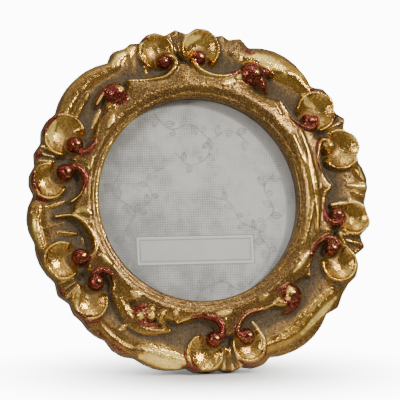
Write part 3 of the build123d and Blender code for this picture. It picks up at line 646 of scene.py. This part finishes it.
def carveCups(face):
    c = cup
    floor = c["floor"]
    for index, (place, size, rimHeight, redEdge) in enumerate(cups):
        centre = clockPoint(*place)
        ball = clockPoint(*scrolls[index][1][:2])
        outward = (centre - ball) / np.linalg.norm(centre - ball)
        where, d, dx, dy = face.around(place, size + 4)
        facing = (dx * outward[0] + dy * outward[1]) / np.maximum(d, 0.1)
        turned = np.arctan2(dy, dx)
        wall = stepUp(facing, *c["mouth"])
        bowl = floor + (rimHeight - c["bowlDrop"] - floor) * wall * np.clip(d / size, 0, 1) ** c["curve"]
        flutes = np.cos(turned * c["flutes"]) * (1 - fadeOut(d, size, *c["fluteEdge"]))
        cover = 1 - stepUp(d, *(size + past for past in c["bowlEdge"]))
        face.cover(face.height, where, bowl + c["fluteHeight"] * flutes, cover)
        rim = rimHeight + c["rimCrown"] - c["rimRound"] * ((d - size) / c["rimHalf"]) ** 2
        outside = rimHeight - c["wallDrop"] - c["wallSlope"] * (d - size - c["wallOut"])
        rim = floor + (np.where(d > size + c["wallOut"], outside, rim) - floor) * wall
        face.raiseTo(where, np.where(d > size - c["rimInner"], rim, 0), c["rimBlend"])
        goldLevel = c["gold"] + c["farGold"] * stepUp(facing, *c["far"]) + c["fluteGold"] * flutes
        face.finish(where, cover, goldLevel, 0.0, c["bright"])
        lip = np.exp(-((d - size) / c["lipHalf"]) ** 2) * wall
        lipGold = c["lipGold"] + c["lipGoldChange"] * np.cos(turned * 2 + index)
        face.atLeast(face.gold, where, lip * lipGold)
        face.atLeast(face.bright, where, lip * c["lipBright"])
        under = np.exp(-(d - size - c["redOut"]) ** 2) * stepUp(facing, *c["redFrom"])
        face.atLeast(face.red, where, under * redEdge)


def carveScrolls(face):
    c = scroll
    for path, (clock, radius, size, ballRed), redShare in scrolls:
        where, d, share = face.alongPath(smoothPath(path), 5)
        width = c["halfWidth"][0] + c["halfWidth"][1] * stepUp(share, *c["widens"])
        crest = c["crest"][0] + c["crest"][1] * stepUp(share, *c["climbs"])
        cover = face.raiseRidge(where, d, width, crest, c)
        flank = 1 - fadeOut(d, width, *c["flank"])
        redLevel = redShare * (c["redFlank"][0] + c["redFlank"][1] * flank)
        redLevel = redLevel * (c["redTail"][0] + c["redTail"][1] * stepUp(share, *c["reddens"]))
        goldLevel = c["gold"] - c["flankGold"] * flank
        face.finish(where, cover, goldLevel, np.clip(redLevel, 0, 1), c["bright"])
        size = size * c["ballScale"]
        where, cover, dx, dy = face.addKnob((clock, radius), size, c["ballBase"], ballRed, c["ball"])
        # a painted highlight right of the middle of each ball
        right, up, halfWidth, halfHeight = (share * size for share in c["glint"])
        shine = np.exp(-(((dx - right) / halfWidth) ** 2 + ((dy - up) / halfHeight) ** 2))
        face.finish(where, shine * cover, c["glintGold"], c["glintRed"])


def carveSwellings(face):
    for place, size, top, goldLevel in swellings:
        where, d, *_ = face.around(place, size + 2)
        face.raiseTo(where, top - swelling["fall"] * (d / size) ** 2, swelling["blend"])
        face.cover(face.gold, where, goldLevel, fadeOut(d, size, *swelling["edge"]))


def carveBuds(face):
    for place, size, top, redLevel, highlightSpots in buds:
        face.addKnob(place, size, top - size, redLevel, bud)
        # spots of painted highlight: the red taken away, gold full, and a small lift
        for spot, spotSize in highlightSpots:
            where, d, *_ = face.around(spot, spotSize * 2)
            cover = np.exp(-(d / spotSize) ** 2)
            face.cover(face.red, where, 0.0, np.clip(cover * bud["spotCover"], 0, 1))
            face.atLeast(face.gold, where, cover)
            face.height[where] += bud["spotLift"] * cover


def brushed(face, path, halfWidth):  # where a stroke lies, and how fully it covers
    where, d, share = face.alongPath(smoothPath(path), halfWidth + 2)
    swell = np.sin(np.clip(share, 0.05, 0.95) * math.pi)
    taper = glint["broaden"] * halfWidth * (glint["endWidth"] + (1 - glint["endWidth"]) * swell)
    return where, fadeOut(d, taper, *glint["edge"])


def paintGlintsAndRubs(face):
    # painted highlights: cream gold, the red under them taken away, a small lift, and marked bright so no
    # dirt or painted shade lies there
    for path, halfWidth, lift, goldLevel in glints:
        where, cover = brushed(face, path, halfWidth)
        face.height[where] += lift * cover
        face.atLeast(face.gold, where, glint["gold"] * goldLevel * cover)
        face.red[where] *= 1 - cover * glint["redUnderGlint"]
        face.atLeast(face.bright, where, goldLevel * cover)
    for path, halfWidth, redLevel in rubs:
        where, cover = brushed(face, path, halfWidth)
        face.atLeast(face.red, where, redLevel * cover)


def outlineFromFrame(clocks):
    # The surround's outline is read from its own CAD node, at the flat back
    x, y, height = (values / mm for values in faceCoordinates("frame_casting"))
    radius = np.hypot(x, y)
    edge = (np.abs(height) < 0.02) & (radius > surround["rebate"] + 15)
    clock = np.degrees(np.arctan2(x[edge], y[edge])) % 360
    order = np.argsort(clock)
    outline = np.interp(clocks, clock[order], radius[edge][order], period=360)
    softening = np.array([1, 2, 3, 2, 1]) / 9.0
    return np.convolve(np.concatenate([outline[-2:], outline, outline[:2]]), softening, mode="valid")


def spread(values, rounds):  # softens a map over its neighbours, round the ring and across it
    for _ in range(rounds):
        up, down = np.vstack([values[:1], values[:-1]]), np.vstack([values[1:], values[-1:]])
        values = (values + np.roll(values, 1, 1) + np.roll(values, -1, 1) + up + down) / 5
    return values


def makeSurround():
    s = surround
    count = s["around"]
    clocks = np.arange(count) * 360.0 / count
    outline = outlineFromFrame(clocks)
    share = np.linspace(0, 1, s["across"] + 1)[:, None]
    radii = outline[None, :] + (s["sight"] - outline[None, :]) * share
    angle = np.radians(clocks)[None, :]
    face = Face(radii * np.sin(angle), radii * np.cos(angle))
    carveBase(face, outline[None, :])
    carveFans(face)
    for row in outerLeaves:
        carveRidge(face, outerLeaf, *row)
    carveCups(face)
    carveSwellings(face)
    for row in ridges:
        carveRidge(face, leaf, *row)
    carveScrolls(face)
    carveBuds(face)
    paintGlintsAndRubs(face)
    falling = stepUp(radii, outline[None, :] - s["rimWidth"], outline[None, :])
    face.height = face.height - (face.height - s["rim"]) * falling * s["rimFall"]
    top = face.height * s["ownShare"] + spread(face.height, 1) * (1 - s["ownShare"])
    blurred = spread(top, s["spreadRounds"])
    # cavity: dirt and painted shade in the hollows and where the surface lies deep, taken off where it is
    # marked bright
    deep = np.clip((s["deepFrom"] - top) / s["deepRange"], 0, 1) * np.interp(radii, *s["deepDirtAndShade"])
    cavity = np.clip((blurred - top) / s["hollowDepth"], 0, 1)
    cavity = cavity + deep * (radii < outline[None, :] - s["cleanRim"])
    cavity = np.clip(cavity, 0, 1) * (1 - np.clip(face.bright, 0, 1))
    gold = face.gold + np.clip((top - blurred) / s["crestHeight"], 0, 1) * s["crestGold"]
    # rows of radius and height round the whole section, from the rebate over the back and the relief
    backEdge = outline - s["edgeInset"]
    rows = [(s["rebate"], 0)]
    rows += [(s["rebate"] + (backEdge - s["rebate"]) * part, 0) for part in s["backShares"]]
    rows += [(backEdge, 0), (outline - s["edgeSide"], s["edgeRound"])]
    rows += [(outline, top[0] * part) for part in s["wallShares"]]
    lead = len(rows)
    rows += [(radii[0] - s["edgeRound"], top[0] - s["edgeRound"])]
    rows += list(zip(radii[1:], top[1:]))
    rows += [
        (s["sight"] - s["lipInset"], s["lipHeight"] - s["lipDrop"]),
        (s["sight"], s["rebateDepth"] + s["lipFoot"]),
        (s["sight"], s["rebateDepth"]),
        (s["rebate"], s["rebateDepth"]),
    ]
    columns = len(rows)
    radius, height = (np.array([np.broadcast_to(row[i], count) for row in rows]) for i in (0, 1))
    x, y = radius * np.sin(angle), radius * np.cos(angle)
    origin, right, up, normal = (np.array(v) for v in (faceOrigin, faceRight, faceUp, faceNormal))
    points = origin + (x[..., None] * right + y[..., None] * up + height[..., None] * normal) * mm
    points = points.reshape(-1, 3)
    points[:, 2] = np.maximum(points[:, 2], 0)          # the foot is flat on the ground
    index = np.arange(columns * count).reshape(columns, count)
    nextRow = np.roll(index, -1, axis=0)
    faces = np.stack([index, nextRow, np.roll(nextRow, -1, axis=1), np.roll(index, -1, axis=1)], axis=-1)
    piece = meshPiece("carvedSurround", points, faces.reshape(-1, 4).tolist())
    for name, values, back in (("gold", gold, s["backGold"]), ("red", face.red, 0), ("cavity", cavity, 0)):
        full = np.full((columns, count), float(back))
        full[lead:lead + s["across"] + 1] = values
        # the back gets a set share of dirt, the rebate a set share of dirt and painted shade
        if name == "cavity":
            full[:lead - 2] = s["backDirt"]
            full[lead + s["across"] + 2:] = s["rebateDirtAndShade"]
        layer = piece.data.attributes.new(name, "FLOAT", "POINT")
        layer.data.foreach_set("value", full.reshape(-1).astype(np.float32))
    takeOnly(piece)
    bpy.ops.object.shade_smooth()
    return piece


surroundPiece = makeSurround()
finish(surroundPiece, gildingMaterial(), "frame_casting")
print("surround:", len(surroundPiece.data.polygons), "faces")


# Print behind the glass: grey linen with a faint drawn foliage and a bare label (in millimetres)
linen = {
    "pale": (0.57, 0.56, 0.55), "shade": (0.25, 0.245, 0.24), "stops": (0.45, 0.74),
    "panel": (0.58, 0.58, 0.57), "ink": (0.15, 0.15, 0.15), "dot": (0.85, 0.85, 0.84),
    "thread": 5200, "weaveDepth": 0.08 * mm,
    "rings": 120, "around": 560,         # steps of its mesh
    # patterns: scale, detail, roughness
    "clouds": (36, 4, 0.6), "blotches": (130, 4, 0.65), "inkWear": (160, 3, 0.6), "dots": (1500, 1, 0.5),
    "toneMix": (0.7, 0.55, 0.22),        # clouds, blotches, weave
    "slope": (2.6, 0.5),                 # paler to the right, and that share of it upwards
    "inkCover": 0.9, "dotCover": 0.7, "labelCover": 0.75,
    "inkLeft": (0.45, 1, 0.40, 0.58), "dotSpread": (0, 1, 0.76, 0.79),
    "labelCentre": (-1.5, -24.0), "labelHalf": (29.0, 6.6),
    "lines": ((-0.45, 0.50, 0.20), (0.15, 0.50, 0.80), (1.35, 0.48, 0.22)),   # inset, width, grey
    "lineEdge": (0.35, 0.75),
}


def printMaterial():
    n = linen
    material, shader, point = newMaterial("linenPrint")
    tree = material.node_tree
    turn = {"Vector": point, "Location": faceOrigin, "Rotation": (math.pi / 2 - lean, 0, 0)}
    mapping = node(tree, "ShaderNodeMapping", turn, vector_type="TEXTURE")
    split = node(tree, "ShaderNodeSeparateXYZ", {"Vector": mapping.outputs["Vector"]})
    across, up = split.outputs["X"], split.outputs["Y"]
    clouds, blotches, inkWear, dots = (
        noise(point, *n[name]) for name in ("clouds", "blotches", "inkWear", "dots"))
    threads = [maths("SINE", times(way, n["thread"])) for way in (across, up)]
    weave = times(plus(*threads), 0.25)
    tone = weighted((clouds, blotches, weave), n["toneMix"])
    slope = times(plus(across, times(up, n["slope"][1])), n["slope"][0])
    ground = ramp(plus(tone, slope), n["stops"], (n["shade"], n["pale"]))
    drawn = times(attribute(shader, "drawn"), grey(inkWear, *n["inkLeft"]))
    ground = mixColour(times(drawn, n["inkCover"]), ground, n["ink"])
    dots = grey(dots, *n["dotSpread"])
    ground = mixColour(times(dots, n["dotCover"]), ground, n["dot"])
    insets = []
    for way, centre, half in zip((across, up), n["labelCentre"], n["labelHalf"]):
        offset = maths("ABSOLUTE", maths("SUBTRACT", way, centre * mm))
        insets.append(maths("SUBTRACT", half * mm, offset))
    inset = maths("MINIMUM", *insets)
    panel = times(maths("GREATER_THAN", inset, 0.0), n["labelCover"])
    labelled = mixColour(panel, ground, n["panel"])
    for place, width, tone in n["lines"]:
        gap = maths("ABSOLUTE", maths("SUBTRACT", inset, place * mm))
        line = grey(gap, 1, 0, *(width * mm * share for share in n["lineEdge"]))
        labelled = mixColour(times(line, n["labelCover"]), labelled, (tone, tone, tone))
    plug(shader, {"Base Color": labelled, "Roughness": 0.85, "Specular IOR Level": 0.2})
    bump(shader, weave, 0.2, n["weaveDepth"])
    return material


seam = 0.02 * mm   # keeps the faces of the stacked discs apart
pane = {
    "tint": (0.80, 0.83, 0.84), "opacity": 0.08, "refraction": 1.45,
    "smears": (40, 2, 0.5), "roughness": (0.05, 0.12), "sides": 160, "edge": 0.1 * mm,
}


def glassMaterial():
    material, shader, point = newMaterial("clearGlass")
    rough = grey(noise(point, *pane["smears"]), *pane["roughness"])
    plug(shader, {"Base Color": pane["tint"], "Roughness": rough, "Alpha": pane["opacity"]})
    plug(shader, {"IOR": pane["refraction"]})
    return material


# Foliage drawn on the print, in millimetres on the face: the stems' points, then the size of their leaves
foliage = {
    "stems": [
        ([(-22, -49), (-31, -38), (-27, -27), (-37, -17), (-31, -5), (-41, 5), (-36, 17)], 4.6),
        ([(-31, -5), (-22, 2), (-24, 12), (-15, 17)], 3.8),
        ([(-4, -50), (2, -43), (12, -40), (20, -44), (28, -38)], 4.4),
        ([(30, -36), (36, -26), (31, -15), (39, -5), (35, 6), (42, 15)], 4.4),
        ([(31, -15), (22, -10), (17, -1), (9, 2)], 3.6),
        ([(-19, 44), (-11, 36), (0, 38), (9, 31), (19, 35), (29, 28)], 4.4),
        ([(9, 31), (7, 22), (-2, 18), (-9, 24)], 3.6),
    ],
    "every": 5,        # steps along a stem between its leaves
    "line": 0.30,
    "belly": 0.26, "forward": 0.75,     # half width of a leaf, and how far it leans along the stem
    "curl": 2.6, "curlSize": 0.42, "curlPlace": 0.45,    # half turns of a tendril, its reach and place
}


def stemLines(stem, size):
    clocks = [(math.degrees(math.atan2(*p)), math.hypot(*p)) for p in stem]
    path = smoothPath(clocks, 1.0)
    lines = [path]
    turn = np.linspace(0, 1, 14)[:, None]
    for i in range(2, len(path) - 2, foliage["every"]):
        forward = path[i + 1] - path[i - 1]
        forward = forward / np.linalg.norm(forward)
        side = 1 if (i // foliage["every"]) % 2 else -1
        across = np.array([-forward[1], forward[0]]) * side
        if i % 3:   # a pointed leaf with its vein
            along = (path[i] + (forward * foliage["forward"] + across) * size) - path[i]
            normal = np.array([-along[1], along[0]])
            for belly in (0, foliage["belly"], -foliage["belly"]):
                lines.append(path[i] + along * turn + normal * belly * np.sin(turn * math.pi))
        else:       # a curling tendril
            angle = turn * foliage["curl"] * math.pi
            reach = size * foliage["curlSize"] * (1.05 - turn)
            centre = path[i] + across * size * foliage["curlPlace"]
            lines.append(centre + reach * (-across * np.cos(angle) + forward * np.sin(angle)))
    return lines


def discExtent(nodeName):
    across, up, heights = faceCoordinates(nodeName)
    return float(np.hypot(across, up).max()), float(heights.min()) + seam, float(heights.max()) - seam


def makePrint():
    radius, low, high = discExtent("photo_print")
    rings, around = linen["rings"], linen["around"]
    reach = np.linspace(0, radius / mm, rings + 1)[1:, None]
    angle = (np.arange(around) * 2 * math.pi / around)[None, :]
    x, y = reach * np.cos(angle), reach * np.sin(angle)
    face = Face(x, y)
    for stem, size in foliage["stems"]:
        for line in stemLines(stem, size):
            where, d, _ = face.alongPath(line, 1.5)
            face.atLeast(face.gold, where, np.exp(-(d / foliage["line"]) ** 2))
    top = [facePoint(u, v, high / mm) for u, v in zip([0, *x.ravel()], [0, *y.ravel()])]
    under = [facePoint(u, v, low / mm) for u, v in zip(x[-1], y[-1])]
    index = 1 + np.arange(rings * around).reshape(rings, around)
    following = np.roll(index, -1, axis=1)
    faces = [(0, int(a), int(b)) for a, b in zip(index[0], following[0])]
    faces += np.stack([index[:-1], index[1:], following[1:], following[:-1]], axis=-1).reshape(-1, 4).tolist()
    last, base = index[-1], 1 + rings * around + np.arange(around)
    faces += np.stack([last, base, np.roll(base, -1), np.roll(last, -1)], axis=-1).tolist()
    faces.append(base[::-1].tolist())
    piece = meshPiece("linenPrint", top + under, faces)
    drawn = np.concatenate([[0.0], face.gold.ravel(), np.zeros(around)]).astype(np.float32)
    piece.data.attributes.new("drawn", "FLOAT", "POINT").data.foreach_set("value", drawn)
    takeOnly(piece)
    bpy.ops.object.shade_flat()
    return piece


def makeGlass():
    # A clean disc in place of the CAD pane, at its place and size on the face
    radius, low, high = discExtent("glass")
    deselectAll()
    bpy.ops.mesh.primitive_cylinder_add(vertices=pane["sides"], radius=radius, depth=high - low)
    piece = bpy.context.object
    piece.name = "glassPane"
    piece.matrix_world = faceMatrix @ Matrix.Translation((0, 0, (low + high) / 2))
    takeOnly(piece)
    bpy.ops.object.transform_apply(location=True, rotation=True, scale=True)
    piece.modifiers.new("edge", "BEVEL").width = pane["edge"]
    bpy.ops.object.modifier_apply(modifier="edge")
    bpy.ops.object.shade_flat()
    return piece


finish(makePrint(), printMaterial(), "photo_print")
finish(makeGlass(), glassMaterial(), "glass")
print("print and glass: done")

# Finishes of the CAD pieces: colours from dark to pale, and patterns (scale, detail, roughness)
backFinish = {
    "flock": ((0.010, 0.010, 0.011), (0.045, 0.043, 0.042)), "flockStops": (0.35, 0.8),
    "fibres": (4200, 2, 0.6), "nap": (60, 3, 0.5), "flockMix": (0.6, 0.5), "sheen": 0.35,
    "nickel": ((0.40, 0.38, 0.34), (0.62, 0.60, 0.55)), "nickelRoughness": 0.30,
    "brass": ((0.45, 0.32, 0.14), (0.74, 0.55, 0.26)), "brassRoughness": 0.28,
    "grain": (1400, 3, 0.6), "stain": (120, 4, 0.6), "stainStops": (0.35, 0.65), "grainShine": (-0.08, 0.12),
    "card": ((0.30, 0.24, 0.17), (0.48, 0.40, 0.30)), "cardStops": (0.3, 0.7), "pulp": (900, 4, 0.6),
}


def flockMaterial():
    b = backFinish
    material, shader, point = newMaterial("blackFlock")
    fibres, nap = (noise(point, *b[name]) for name in ("fibres", "nap"))
    colour = ramp(weighted((fibres, nap), b["flockMix"]), b["flockStops"], b["flock"])
    plug(shader, {"Base Color": colour, "Roughness": 0.95, "Sheen Weight": b["sheen"]})
    bump(shader, fibres, 0.6, 0.2 * mm)
    return material


def metalMaterial(name, metal):
    b = backFinish
    material, shader, point = newMaterial(name)
    grain = noise(point, *b["grain"])
    colour = ramp(noise(point, *b["stain"]), b["stainStops"], b[metal])
    rough = grey(grain, *(b[metal + "Roughness"] + change for change in b["grainShine"]))
    plug(shader, {"Base Color": colour, "Metallic": 1.0, "Roughness": rough})
    bump(shader, grain, 0.2, 0.05 * mm)
    return material


def cardMaterial():
    b = backFinish
    material, shader, point = newMaterial("greyCard")
    colour = ramp(noise(point, *b["pulp"]), b["cardStops"], b["card"])
    plug(shader, {"Base Color": colour, "Roughness": 0.9})
    return material


flock = flockMaterial()
nickel, brass = metalMaterial("nickelPlate", "nickel"), metalMaterial("brassedScrew", "brass")
nodeMaterials = {
    "filler_card": cardMaterial(), "back_board": flock, "easel_strut": flock,
    "hanger_screw": brass, "turn_button_screws": brass,
    **dict.fromkeys(("hinge_plate", "hinge_pin", "strut_leaf", "hanger_strap", "hanger_ring"), nickel),
    **{f"turn_button_{i}": nickel for i in (1, 2, 3, 4)},
}
for name, material in nodeMaterials.items():
    mesh = frame["nodes"][name].data
    mesh.materials.clear()
    mesh.materials.append(material)
print("materials: done")


# Floor, lights and camera
studio = {
    "azimuth": -14.0,
    "elevation": 4.2,
    "distance": 1.6,
    "sensor": 36,
    "pixelsPerMillimetre": 2.0566,
    "imageSize": 400,
    "lipCentre": (199.90, 198.68),   # in pixels
    "lipHeight": 13.0,
    "floorSize": 4, "floorFade": (0.01, 0.14),
    "floorTones": ((0.97, 0.97, 0.97), (0.99, 0.99, 0.99)), "floorStops": (0.3, 0.7),
    "roomGround": (0.24, 0.22, 0.19),
    "roomStops": (0.0, 0.46, 0.54, 0.72, 0.84, 1.0),   # from straight down to straight up
    "roomGreys": (0.14, 0.18, 0.60, 0.60),             # of the last four stops
    "roomStrength": 1.5,
    "backdropStrength": 12.0,
    "aim": (0, 0, 0.08),
    "lights": {                      # place, size, power, colour
        "keyLight": ((0.75, -1.05, 0.80), 0.22, 16, (1.0, 0.95, 0.84)),
        "topLight": ((0.15, -0.45, 1.25), 0.40, 3, (1, 1, 1)),
        "sideLight": ((-1.15, -0.85, 0.45), 0.28, 8, (1.0, 0.96, 0.88)),
    },
}


def makeFloor():
    # Pale, and fading out round the piece into the white backdrop
    deselectAll()
    bpy.ops.mesh.primitive_plane_add(size=studio["floorSize"], location=(0, 0, 0))
    floor = bpy.context.object
    floor.name = "floor"
    material, shader, point = newMaterial("paleFloor")
    colour = ramp(noise(point, 3, 2, 0.5), studio["floorStops"], studio["floorTones"])
    distance = node(shader.id_data, "ShaderNodeVectorMath", {0: point}, operation="LENGTH").outputs["Value"]
    fade = grey(distance, 1.0, 0.0, *studio["floorFade"], interpolation_type="SMOOTHSTEP")
    plug(shader, {"Base Color": colour, "Roughness": 0.8, "Alpha": fade})
    floor.data.materials.append(material)


def makeLights():
    for name, (place, size, power, colour) in studio["lights"].items():
        deselectAll()
        bpy.ops.object.light_add(type="AREA", location=place)
        light = bpy.context.object
        light.name = name
        light.data.shape = "DISK"
        light.data.size = size
        light.data.energy = power
        light.data.color = colour
        light.rotation_euler = (Vector(studio["aim"]) - Vector(place)).to_track_quat("-Z", "Y").to_euler()


def makeCamera():
    azimuth, elevation = math.radians(studio["azimuth"]), math.radians(studio["elevation"])
    level = math.cos(elevation)
    back = Vector((math.sin(azimuth) * level, -math.cos(azimuth) * level, math.sin(elevation)))
    right = Vector((math.cos(azimuth), math.sin(azimuth), 0))
    above = back.cross(right)
    half = studio["imageSize"] / 2
    scale = studio["pixelsPerMillimetre"]
    lip = facePoint(0, 0, studio["lipHeight"])
    offX = (half - studio["lipCentre"][0]) / scale * mm
    offY = (studio["lipCentre"][1] - half) / scale * mm
    centre = lip + right * offX + above * offY
    deselectAll()
    bpy.ops.object.camera_add(location=centre + back * studio["distance"])
    camera = bpy.context.object
    camera.name = "camera"
    camera.rotation_euler = Matrix((right, above, back)).transposed().to_euler()
    camera.data.sensor_width = studio["sensor"]
    camera.data.lens = studio["sensor"] * studio["distance"] / (studio["imageSize"] / scale * mm)
    camera.data.dof.use_dof = False
    bpy.context.scene.camera = camera


def makeWorld():
    # The camera sees plain white; the piece mirrors a dim room with a bright ceiling
    world = bpy.data.worlds.new("studioWorld")
    bpy.context.scene.world = world
    world.use_nodes = True
    tree = world.node_tree
    direction = node(tree, "ShaderNodeTexCoord", {}).outputs["Generated"]
    rise = node(tree, "ShaderNodeSeparateXYZ", {"Vector": direction}).outputs["Z"]
    room = tree.nodes["Background"]
    tones = [studio["roomGround"]] * 2 + [(tone,) * 3 for tone in studio["roomGreys"]]
    roomColour = ramp(grey(rise, 0, 1, -1, 1), studio["roomStops"], tones)
    plug(room, {"Color": roomColour, "Strength": studio["roomStrength"]})
    white = {"Color": (1, 1, 1), "Strength": studio["backdropStrength"]}
    backdrop = node(tree, "ShaderNodeBackground", white)
    choice = node(tree, "ShaderNodeMixShader", {
        0: node(tree, "ShaderNodeLightPath", {}).outputs["Is Camera Ray"],
        1: room.outputs["Background"],
        2: backdrop.outputs["Background"],
    })
    plug(tree.nodes["World Output"], {"Surface": choice.outputs["Shader"]})


makeFloor()
makeWorld()
makeLights()
makeCamera()
print("studio: done")
